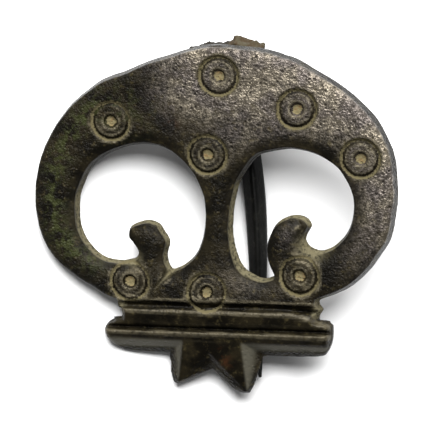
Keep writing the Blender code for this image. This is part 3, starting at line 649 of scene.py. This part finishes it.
def sweep(points, radius, square, around=28, lean=0.6):
    # a ring carried along the path, its first direction straight back; square sections are a circle
    # pressed towards four flats
    tangent = np.gradient(points, axis=0)
    tangent /= np.linalg.norm(tangent, axis=1)[:, None]
    away = np.tile([0, 0, -1.0], (len(points), 1))
    first = away - tangent * (away * tangent).sum(axis=1)[:, None]
    first /= np.linalg.norm(first, axis=1)[:, None]
    second = np.cross(tangent, first)
    turn = np.linspace(0, 2 * np.pi, around, endpoint=False)[None, :]
    flat = (np.abs(np.cos(turn + lean)) ** 7 + np.abs(np.sin(turn + lean)) ** 7) ** (-1 / 7)
    size = radius[:, None] * (1 + square[:, None] * (0.93 * flat - 1))
    rings = (points[:, None, :] + (size * np.cos(turn))[:, :, None] * first[:, None, :]
             + (size * np.sin(turn))[:, :, None] * second[:, None, :])
    count = len(points)
    i, j = np.meshgrid(np.arange(count - 1), np.arange(around), indexing="ij")
    right = (j + 1) % around
    faces = np.stack([i * around + j, i * around + right, (i + 1) * around + right,
                      (i + 1) * around + j], axis=-1).reshape(-1, 4)
    return rings.reshape(-1, 3), faces


def roundEnds(points, radius, square, steps=6):
    # both ends closed by a half ball: extra stations whose radius shrinks to almost nothing
    a = np.linspace(np.pi / 2, 0.02, steps + 1)[1:]
    ahead, behind = unit(points[-1] - points[-2]), unit(points[0] - points[1])
    tail = points[-1] + ahead * (radius[-1] * np.cos(a))[:, None]
    head = points[0] + behind * (radius[0] * np.cos(a[::-1]))[:, None]
    path = np.concatenate([head, points, tail])
    size = np.concatenate([radius[0] * np.sin(a[::-1]), radius, radius[-1] * np.sin(a)])
    flat = np.concatenate([np.full(steps, square[0]), square, np.full(steps, square[-1])])
    return path, size, flat


def castingMarks(at, px, py, pz):
    # what the materials read at each point: soil, polish, colours and painted light, on the front face or
    # its walls
    facing, onBar = smooth(-1.6, -1.1, pz), at["bar"]
    face = facing * (1 - onBar)
    notBack = 1 - smooth(-1.85, -1.98, pz)
    wall = smooth(-0.42, -0.72, pz) * (1 - onBar) * notBack
    ends = smooth(10.0, 11.0, np.abs(at["bx"])) * smooth(-1.3, -0.8, at["by"]) * smooth(2.0, 1.0, at["by"])
    wall = np.maximum(wall, ends * smooth(-0.3, -0.6, pz))
    # painted highlight (sheen): lighter colour where light catches the face: the upper right, the right
    # arm, above the openings, the right rim, the right volute and beside the lowest mark
    paintedSheen = smooth(-10, -2, px) * smooth(5.5, 10.5, py + 0.1 * px)
    paintedSheen = np.maximum(paintedSheen, 0.75 * smooth(12.5, 16.0, px) * smooth(-11, -1, py))
    paintedSheen = np.maximum(paintedSheen, 0.45 * bell(px - 3, 5) * smooth(1, 7, py))
    paintedSheen = paintedSheen + 0.30 * smooth(-4.0, -1.6, at["outer"]) * smooth(2, 9, px) * smooth(-3, 3, py)
    paintedSheen = np.maximum(paintedSheen, 0.5 * bell(np.hypot(px - 8.2, py + 4.2), 1.3))
    paintedSheen = np.maximum(paintedSheen, 0.35 * bell(px - 4, 3.5) * bell(py + 10, 1.6))
    # the painted highlight is kept off the shoulders, the ring buttons and the rings' bands, which stay
    # dark
    paintedSheen = paintedSheen * (1 - 0.85 * at["shoulder"] ** 0.7) * (1 - 0.45 * at["button"]) * (1 - 0.92 * at["band"])
    # olive: a streak down the middle of the left arm, and beside the left mark
    arm = bell(at["outer"] + 2.4, 1.2) * smooth(-11, -14.5, px) * smooth(-11.5, -7, py)
    green = np.maximum(arm, 0.55 * bell(px + 12, 4) * bell(py - 8.5, 2.6))
    # reddish spots: between the teeth and on the arch
    brown = 0.6 * bell(np.hypot(px - 1.1, (py + 19.0) * 0.7), 0.7)
    brown = brown + 0.3 * bell(np.hypot(px + 5.2, py - 7.2), 0.7)
    # painted light: the outer facets of both teeth, coloured lighter as if lit from the pale floor
    leftFacet = smooth(-3.35, -3.75, px - 0.12 * (py + 17))
    rightFacet = smooth(2.95, 3.3, px + 0.12 * (py + 17))
    paintedFacetLight = smooth(-16.9, -17.3, py) * np.maximum(leftFacet, rightFacet)
    return dict(
        innerWall=wall * np.maximum(at["inner"], ends), paintedFacetLight=paintedFacetLight * facing, groove=at["groove"] * facing,
        pit=at["pit"] * face, hollow=at["hollow"] * facing, ridge=at["ridge"] * facing,
        slope=at["slope"] * facing, shoulder=at["shoulder"] * facing, paintedSheen=paintedSheen * face * (1 - wall),
        green=green * face, brown=brown * facing, onBar=onBar * facing,
    )


def makeCasting():
    s = castingSet
    cell = s["cell"]
    gx, gy, gz = (np.arange(low, high, cell) for low, high in zip(s["low"], s["high"]))
    x, y, z = (v.astype(np.float32) for v in np.meshgrid(gx, gy, gz, indexing="ij", sparse=True))
    flatX, flatY = np.meshgrid(gx, gy, indexing="ij")
    whole, flatMarks = castingField(flatX[:, :, None], flatY[:, :, None], z)
    whole = softMin(whole, lugField(x, y, z), 0.3)
    whole = softMin(whole, catchField(x, y, z), 0.15)
    points, faces = netSurface(whole.astype(np.float32), np.array([gx[0], gy[0], gz[0]]), cell)
    px, py, pz = points.T
    i = np.clip(((px - gx[0]) / cell).round().astype(int), 0, len(gx) - 1)
    j = np.clip(((py - gy[0]) / cell).round().astype(int), 0, len(gy) - 1)
    at = {label: values[i, j] for label, values in flatMarks.items()}
    print("casting:", len(points), "points,", 2 * len(faces), "triangles")
    thing = addMesh("castPlate", plateToWorld(points), faces, castingMarks(at, px, py, pz))
    finer = thing.modifiers.new("fewerTriangles", "DECIMATE")
    finer.ratio = min(1.0, s["triangles"] / (2 * len(faces)))
    return thing


casting = makeCasting()
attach(casting, "brooch")
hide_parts("plate")


def makeWire():
    # the pin runs from its tip to just inside the crust of the coil
    share = np.linspace(1, 0.012, wireSet["pinStations"])
    square = smooth(0.03, 0.12, share)
    path, size, square = roundEnds(pinLine(share), pinThickness(share) * wireSet["wire"] / 2, square)
    pinPoints, pinFaces = sweep(path, size, square)
    coilPoints, coilFaces, rust = coilShell()
    points = np.concatenate([pinPoints, coilPoints])
    faces = np.concatenate([pinFaces, coilFaces + len(pinPoints)])
    marks = dict(rust=np.concatenate([np.zeros(len(pinPoints)), rust]),
                 coil=np.concatenate([np.zeros(len(pinPoints)), np.ones(len(coilPoints))]))
    print("spring and pin:", 2 * len(faces), "triangles")
    return addMesh("springPin", springToWorld(points), faces, marks)


wire = makeWire()
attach(wire, "pin")
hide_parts("spring_pin")


def put(tree, kind, inputs=None, **settings):
    # one node: settings are its own properties, inputs are numbers or sockets to link
    node = tree.nodes.new(kind)
    for name, value in settings.items():
        setattr(node, name, value)
    for name, value in (inputs or {}).items():
        socket = node.inputs[name]
        if isinstance(value, bpy.types.NodeSocket):
            tree.links.new(value, socket)
        else:
            socket.default_value = value
    return node


def calc(tree, kind, *values):
    return put(tree, "ShaderNodeMath", dict(enumerate(values)), operation=kind).outputs[0]


def fade(tree, value, low, high, start=0.0, end=1.0):
    inputs = {"Value": value, "From Min": low, "From Max": high, "To Min": start, "To Max": end}
    return put(tree, "ShaderNodeMapRange", inputs, interpolation_type="SMOOTHSTEP").outputs["Result"]


def blend(tree, factor, first, second):
    return put(tree, "ShaderNodeMix", {0: factor, 6: first, 7: second}, data_type="RGBA").outputs[2]


def noise(tree, point, scale, detail=2.0, rough=0.5):
    inputs = {"Vector": point, "Scale": scale, "Detail": detail, "Roughness": rough}
    return put(tree, "ShaderNodeTexNoise", inputs).outputs[0]


def mark(tree, name):
    return put(tree, "ShaderNodeAttribute", attribute_name=name).outputs["Fac"]


def newGroup(name, inputs, outputs):
    group = bpy.data.node_groups.new(name, "ShaderNodeTree")
    for label, kind in inputs:
        group.interface.new_socket(name=label, in_out="INPUT", socket_type="NodeSocket" + kind)
    for label, kind in outputs:
        group.interface.new_socket(name=label, in_out="OUTPUT", socket_type="NodeSocket" + kind)
    return group, group.nodes.new("NodeGroupInput").outputs, group.nodes.new("NodeGroupOutput").inputs


def useGroup(tree, group, inputs):
    return put(tree, "ShaderNodeGroup", inputs, node_tree=group).outputs


# Fine orange-peel pitting of old cast bronze: two sizes of noise less round pits
pitting, given, result = newGroup(
    "oldMetalPitting", [("Point", "Vector"), ("Grain", "Float"), ("Pits", "Float")],
    [("Height", "Float"), ("Speck", "Float"), ("Pocket", "Float")])
coarse = noise(pitting, given["Point"], 1.7, 3.0, 0.65)
fine = noise(pitting, given["Point"], 4.6, 2.0, 0.6)
cells = put(pitting, "ShaderNodeTexVoronoi", {"Vector": given["Point"], "Scale": 1.7}).outputs["Distance"]
pocket = fade(pitting, cells, 0.36, 0.12)
height = calc(pitting, "MULTIPLY_ADD", fine, 0.50, calc(pitting, "MULTIPLY", coarse, 0.60))
height = calc(pitting, "MULTIPLY", height, given["Grain"])
pitting.links.new(calc(pitting, "SUBTRACT", height, calc(pitting, "MULTIPLY", pocket, given["Pits"])),
                  result["Height"])
# Speck: where the noise is high; it breaks the painted highlight on the bronze into specks, and marks spots
# on the iron
mixed = calc(pitting, "ADD", calc(pitting, "MULTIPLY", fine, 0.45), calc(pitting, "MULTIPLY", coarse, 0.55))
pitting.links.new(fade(pitting, mixed, 0.42, 0.62), result["Speck"])
pitting.links.new(pocket, result["Pocket"])

# Patina: three colours that take turns over a few millimetres
patina, given, result = newGroup(
    "patinaColours", [("Point", "Vector"), ("Dark", "Color"), ("Middle", "Color"), ("Spots", "Color")],
    [("Color", "Color")])
wide = noise(patina, given["Point"], 0.35, 4.0, 0.6)
small = noise(patina, given["Point"], 1.4, 3.0, 0.65)
tone = blend(patina, fade(patina, wide, 0.40, 0.62), given["Dark"], given["Middle"])
tone = blend(patina, fade(patina, small, 0.56, 0.70, 0.0, 0.7), tone, given["Spots"])
patina.links.new(tone, result["Color"])

# Soil held in hollows: its edge is broken up by noise
soilCover, given, result = newGroup(
    "soilCover", [("Point", "Vector"), ("Base", "Color"), ("Soil", "Color"), ("Where", "Float"),
                  ("Ragged", "Float")],
    [("Color", "Color"), ("Cover", "Float")])
ragged = calc(soilCover, "SUBTRACT", noise(soilCover, given["Point"], 2.0, 4.0, 0.65), 0.5)
amount = calc(soilCover, "MULTIPLY_ADD", ragged, given["Ragged"], given["Where"])
present = fade(soilCover, given["Where"], 0.0, 0.15)
cover = calc(soilCover, "MULTIPLY", fade(soilCover, amount, 0.25, 0.75), present)
soilCover.links.new(blend(soilCover, cover, given["Base"], given["Soil"]), result["Color"])
soilCover.links.new(cover, result["Cover"])


def startMaterial(name, specular):
    # a material's tree and shader, and the place on the object in millimetres
    material = bpy.data.materials.new(name)
    material.use_nodes = True
    tree = material.node_tree
    shader = tree.nodes["Principled BSDF"]
    shader.inputs["Specular IOR Level"].default_value = specular
    coords = put(tree, "ShaderNodeTexCoord").outputs["Object"]
    point = put(tree, "ShaderNodeVectorMath", {0: coords, "Scale": 1000.0}, operation="SCALE").outputs[0]
    return material, tree, shader, point


def oldSurface(tree, point, tones, grain, pits):
    # the pitting and the patina under everything else
    relief = useGroup(tree, pitting, {"Point": point, "Grain": grain, "Pits": pits})
    color = useGroup(tree, patina, {"Point": point, "Dark": tones["dark"], "Middle": tones["middle"],
                                    "Spots": tones["spots"]})["Color"]
    return relief, color


def addSoil(tree, point, base, soil, where, edge):
    return useGroup(tree, soilCover, {"Point": point, "Base": base, "Soil": soil, "Where": where,
                                      "Ragged": edge})


def addBump(tree, shader, height, depth):
    bump = put(tree, "ShaderNodeBump", {"Height": height, "Strength": 1.0, "Distance": depth})
    tree.links.new(bump.outputs["Normal"], shader.inputs["Normal"])


# The two sheen colours are painted highlight, and the facet colour is painted light on the teeth's outer
# facets.
bronzeSet = dict(
    dark=(0.0032, 0.0027, 0.0017, 1), middle=(0.0115, 0.0092, 0.0048, 1), spots=(0.036, 0.029, 0.013, 1),
    paintedSheenCool=(0.125, 0.108, 0.096, 1), paintedSheenWarm=(0.215, 0.186, 0.142, 1), olive=(0.024, 0.027, 0.009, 1),
    red=(0.050, 0.018, 0.007, 1), paintedFacetLight=(0.070, 0.066, 0.050, 1), worn=(0.120, 0.104, 0.068, 1),
    wall=(0.100, 0.088, 0.052, 1), wallDark=(0.022, 0.020, 0.012, 1), grooveSoil=(0.086, 0.073, 0.038, 1),
    pitTan=(0.150, 0.126, 0.066, 1), pitOrange=(0.165, 0.112, 0.052, 1),
    specular=0.07, grain=1.0, pits=0.30, bumpDepth=0.00026, smoothShoulder=0.35, smoothBar=0.3,
)


def makeBronze():
    s = bronzeSet
    material, tree, shader, point = startMaterial("castBronze", s["specular"])
    relief, color = oldSurface(tree, point, s, s["grain"], s["pits"])
    # painted highlight: a lighter colour where the sheen mark lies, in specks, left out of the pits
    cloud = noise(tree, point, 0.30, 3.0, 0.6)
    paintedSheenTone = blend(tree, fade(tree, cloud, 0.40, 0.60), s["paintedSheenCool"], s["paintedSheenWarm"])
    amount = calc(tree, "MULTIPLY", mark(tree, "paintedSheen"), fade(tree, relief["Speck"], 0.0, 1.0, 0.24, 1.0))
    amount = calc(tree, "MULTIPLY", amount, fade(tree, relief["Pocket"], 0.0, 1.0, 1.0, 0.35))
    color = blend(tree, amount, color, paintedSheenTone)
    patches = fade(tree, noise(tree, point, 0.9, 4.0, 0.65), 0.44, 0.60)
    color = blend(tree, calc(tree, "MULTIPLY", mark(tree, "green"), patches), color, s["olive"])
    color = blend(tree, calc(tree, "MULTIPLY", mark(tree, "brown"), patches), color, s["red"])
    # painted light on the teeth's outer facets
    color = blend(tree, calc(tree, "MULTIPLY", mark(tree, "paintedFacetLight"), 0.8), color, s["paintedFacetLight"])
    # walls and cut slopes: tan soil over dark metal, in patches
    wallMask = calc(tree, "MAXIMUM", mark(tree, "innerWall"), mark(tree, "slope"))
    wallPatches = fade(tree, noise(tree, point, 2.4, 4.0, 0.7), 0.36, 0.54)
    color = blend(tree, wallMask, color, blend(tree, wallPatches, s["wallDark"], s["wall"]))
    # soil in the hollows and grooves, and tan to orange soil on the floors of the pits
    thin = calc(tree, "MULTIPLY", mark(tree, "hollow"), 0.40)
    hollow = addSoil(tree, point, color, s["grooveSoil"], thin, 1.4)
    groove = addSoil(tree, point, hollow["Color"], s["grooveSoil"], mark(tree, "groove"), 0.9)
    orange = fade(tree, noise(tree, point, 1.8, 3.0, 0.6), 0.50, 0.68)
    pitTone = blend(tree, orange, s["pitTan"], s["pitOrange"])
    pit = addSoil(tree, point, groove["Color"], pitTone, mark(tree, "pit"), 0.5)
    rubbed = fade(tree, noise(tree, point, 1.5, 3.0, 0.6), 0.3, 0.6, 0.25, 0.75)
    color = blend(tree, calc(tree, "MULTIPLY", mark(tree, "ridge"), rubbed), pit["Color"], s["worn"])
    tree.links.new(color, shader.inputs["Base Color"])
    # soil and walls are matt, the shoulders a little, the rest shines; the painted sheen's places are more
    # metallic
    matt = calc(tree, "MAXIMUM", calc(tree, "MAXIMUM", groove["Cover"], pit["Cover"]), wallMask)
    matt = calc(tree, "MAXIMUM", matt, calc(tree, "MULTIPLY", mark(tree, "shoulder"), 0.35))
    tree.links.new(fade(tree, matt, 0.0, 1.0, 0.34, 0.85), shader.inputs["Roughness"])
    tree.links.new(fade(tree, amount, 0.0, 1.0, 0.15, 0.75), shader.inputs["Metallic"])
    shoulder = fade(tree, mark(tree, "shoulder"), 0.2, 1.0, 1.0, s["smoothShoulder"])
    bar = fade(tree, mark(tree, "onBar"), 0.0, 1.0, 1.0, s["smoothBar"])
    level = calc(tree, "MULTIPLY", calc(tree, "MULTIPLY", relief["Height"], shoulder), bar)
    addBump(tree, shader, level, s["bumpDepth"])
    return material


wireTones = dict(
    dark=(0.0015, 0.0015, 0.0013, 1), middle=(0.004, 0.004, 0.0035, 1), spots=(0.012, 0.012, 0.009, 1),
    crust=(0.016, 0.014, 0.010, 1), rust=(0.032, 0.021, 0.010, 1), tan=(0.044, 0.037, 0.022, 1),
    specular=0.12, metallic=0.1, grain=0.8, pits=0.15, bumpDepth=0.00005,
)


def makeWireBronze():
    s = wireTones
    material, tree, shader, point = startMaterial("wireBronze", s["specular"])
    shader.inputs["Metallic"].default_value = s["metallic"]
    relief, color = oldSurface(tree, point, s, s["grain"], s["pits"])
    crusty = addSoil(tree, point, color, s["crust"], calc(tree, "MULTIPLY", mark(tree, "coil"), 0.75), 1.2)
    stain = blend(tree, fade(tree, noise(tree, point, 1.2, 3.0, 0.6), 0.42, 0.60), s["rust"], s["tan"])
    rusty = addSoil(tree, point, crusty["Color"], stain, mark(tree, "rust"), 1.0)
    tree.links.new(rusty["Color"], shader.inputs["Base Color"])
    matt = calc(tree, "MAXIMUM", crusty["Cover"], rusty["Cover"])
    tree.links.new(fade(tree, matt, 0.0, 1.0, 0.38, 0.8), shader.inputs["Roughness"])
    addBump(tree, shader, relief["Height"], s["bumpDepth"])
    return material


rustTones = dict(
    dark=(0.016, 0.009, 0.005, 1), middle=(0.036, 0.020, 0.011, 1), spots=(0.070, 0.036, 0.018, 1),
    specular=0.5, grain=1.3, pits=0.5, bumpDepth=0.00010,
)


def makeRust():
    s = rustTones
    material, tree, shader, point = startMaterial("rustedIron", s["specular"])
    relief, color = oldSurface(tree, point, s, s["grain"], s["pits"])
    tree.links.new(blend(tree, relief["Speck"], color, s["spots"]), shader.inputs["Base Color"])
    tree.links.new(fade(tree, relief["Speck"], 0.0, 1.0, 0.8, 0.95), shader.inputs["Roughness"])
    addBump(tree, shader, relief["Height"], s["bumpDepth"])
    return material


casting.data.materials.append(makeBronze())
wire.data.materials.append(makeWireBronze())
rod = frame["nodes"]["axis_rod"]
rod.data.materials.clear()
rod.data.materials.append(makeRust())
print("materials made")

# Floor, light and camera.
floorSet = dict(size=3.0, tone=(0.9, 0.9, 0.9, 1), roughness=0.9)
bpy.ops.mesh.primitive_plane_add(size=floorSet["size"])
floor = bpy.context.object
floor.name = "floor"
white = bpy.data.materials.new("paleFloor")
white.use_nodes = True
whiteShader = white.node_tree.nodes["Principled BSDF"].inputs
whiteShader["Base Color"].default_value = floorSet["tone"]
whiteShader["Roughness"].default_value = floorSet["roughness"]
floor.data.materials.append(white)

# The photograph's view of the plate: how its back shows beside its front, how far it is turned, the
# size of a pixel in millimetres, and where the plate's origin falls in the picture.
viewSet = dict(leanX=0.214, leanY=0.125, roll=math.radians(-2.08), pixel=0.1108, originX=216,
               originY=190, distance=600.0, frame=432, sensor=36.0)
n = unit(np.array([-viewSet["leanX"], -viewSet["leanY"], 1.0]))
tilt = Vector((0, 0, 1)).rotation_difference(Vector(n)).to_matrix()
seen = np.array(Matrix.Rotation(viewSet["roll"], 3, "Z") @ tilt)
cameraTurn = plateTurn @ seen.T
side = (viewSet["frame"] / 2 - viewSet["originX"]) * viewSet["pixel"]
rise = (viewSet["originY"] - viewSet["frame"] / 2) * viewSet["pixel"]
cameraSeat = plateSeat + cameraTurn @ (np.array([side, rise, viewSet["distance"]]) * mm)
cameraData = bpy.data.cameras.new("camera")
cameraData.sensor_width = viewSet["sensor"]
cameraData.lens = viewSet["sensor"] * viewSet["distance"] / (viewSet["frame"] * viewSet["pixel"])
cameraData.clip_start = 0.01
cameraData.clip_end = 10.0
camera = bpy.data.objects.new("camera", cameraData)
bpy.context.scene.collection.objects.link(camera)
placed = Matrix([list(row) + [0] for row in cameraTurn] + [[0, 0, 0, 1]])
placed.translation = Vector(cameraSeat)
camera.matrix_world = placed
bpy.context.scene.camera = camera

# one large soft lamp beyond the brooch's top edge, as the shadows in the photograph show, in metres
lightSet = dict(place=(0.05, 0.58, 0.69), target=(0, 0, 0.004), size=0.95, power=33.0, sky=0.18)
lampData = bpy.data.lights.new("keyLamp", "AREA")
lampData.shape = "DISK"
lampData.size = lightSet["size"]
lampData.energy = lightSet["power"]
lamp = bpy.data.objects.new("keyLamp", lampData)
lamp.location = lightSet["place"]
towards = Vector(lightSet["target"]) - Vector(lightSet["place"])
lamp.rotation_euler = towards.to_track_quat("-Z", "Y").to_euler()
bpy.context.scene.collection.objects.link(lamp)
world = bpy.data.worlds.new("studio")
world.use_nodes = True
world.node_tree.nodes["Background"].inputs["Color"].default_value = (1, 1, 1, 1)
world.node_tree.nodes["Background"].inputs["Strength"].default_value = lightSet["sky"]
bpy.context.scene.world = world
bpy.context.scene.view_settings.view_transform = "Standard"
print("stage set")
